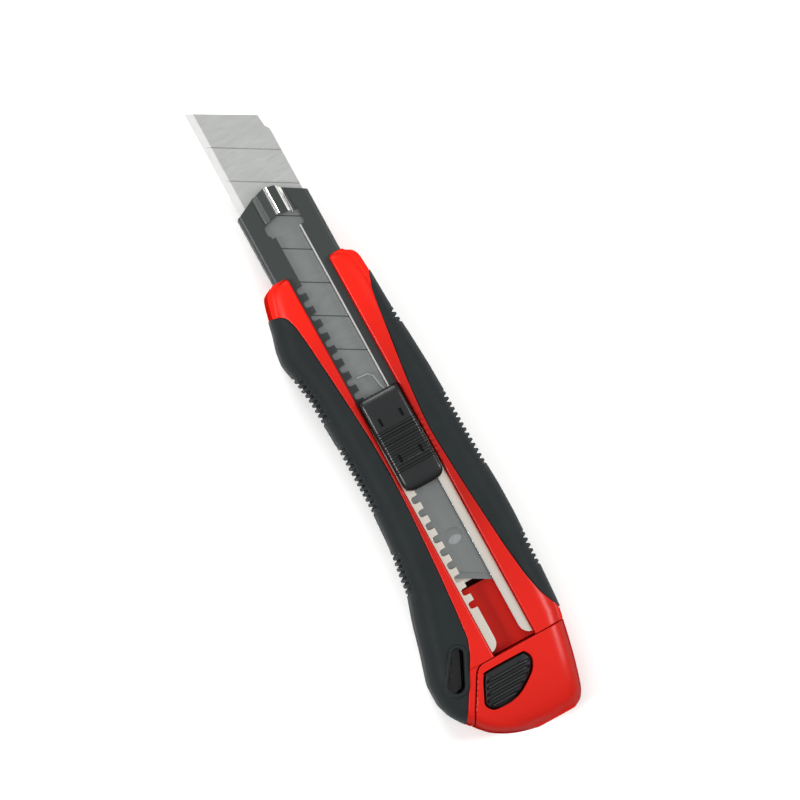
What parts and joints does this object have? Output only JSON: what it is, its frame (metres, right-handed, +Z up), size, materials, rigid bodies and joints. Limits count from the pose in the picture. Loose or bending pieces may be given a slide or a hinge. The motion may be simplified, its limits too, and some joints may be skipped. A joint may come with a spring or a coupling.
{
  "type": "utility knife",
  "caption": "Snap-off utility knife with a ribbed auto-lock thumb slider in a notched steel channel, spare blades beneath, rubber grips and a latched end cap.",
  "frame": {"origin": "on the resting face, under the middle of the blade channel and of the handle's length", "axes": "+X towards the blade's tip, +Y towards the cutting edge, +Z up towards the thumb pad"},
  "size_m": [0.1857, 0.0419, 0.0214],
  "materials": {
    "body_red": "moulded ABS, satin gloss",
    "grip_rubber": "matte overmoulded rubber",
    "slider_black": "moulded acetal, satin",
    "channel_steel": "bright rolled stainless sheet",
    "blade_steel": "ground tool steel",
    "plain_steel": "bright steel"
  },
  "bodies": {
    "handle": {"upper_shell": "body_red", "lower_shell": "body_red", "upper_finger_grip": "grip_rubber", "lower_finger_grip": "grip_rubber", "upper_palm_grip": "grip_rubber", "lower_palm_grip": "grip_rubber", "blade_channel": "channel_steel", "nose_bridge": "channel_steel", "channel_pins": "plain_steel", "shell_screws": "plain_steel", "spare_blade_upper": "blade_steel", "spare_blade_lower": "blade_steel", "magazine_follower": "plain_steel", "magazine_spring": "plain_steel"},
    "carriage": {"blade": "blade_steel", "carrier_plate": "plain_steel", "blade_stud": "plain_steel", "slider_body": "slider_black", "lock_spring": "plain_steel"},
    "pawl": {"lock_pawl": "plain_steel"},
    "pad": {"thumb_pad": "slider_black"},
    "cap": {"end_cap": "body_red", "button_spring": "plain_steel"},
    "button": {"cap_button": "slider_black"}
  },
  "joints": [
    {"name": "blade_slide", "type": "slide", "parent": "handle", "child": "carriage", "axis": [1, 0, 0], "range_m": [-0.0468, 0.0468]},
    {"name": "pawl_release", "type": "slide", "parent": "carriage", "child": "pawl", "axis": [0, -1, 0], "range_m": [0, 0.002], "stiffness_N_per_m": 400, "springref_m": -0.002, "deforming": ["lock_spring"]},
    {"name": "pad_shift", "type": "slide", "parent": "carriage", "child": "pad", "axis": [1, 0, 0], "range_m": [-0.0008, 0.0008], "stiffness_N_per_m": 1500},
    {"name": "cap_pull", "type": "slide", "parent": "handle", "child": "cap", "axis": [-1, 0, 0], "range_m": [0, 0.026]},
    {"name": "button_press", "type": "slide", "parent": "cap", "child": "button", "axis": [0, 0, -1], "range_m": [0, 0.0016], "stiffness_N_per_m": 600, "springref_m": -0.002, "deforming": ["button_spring"]}
  ]
}
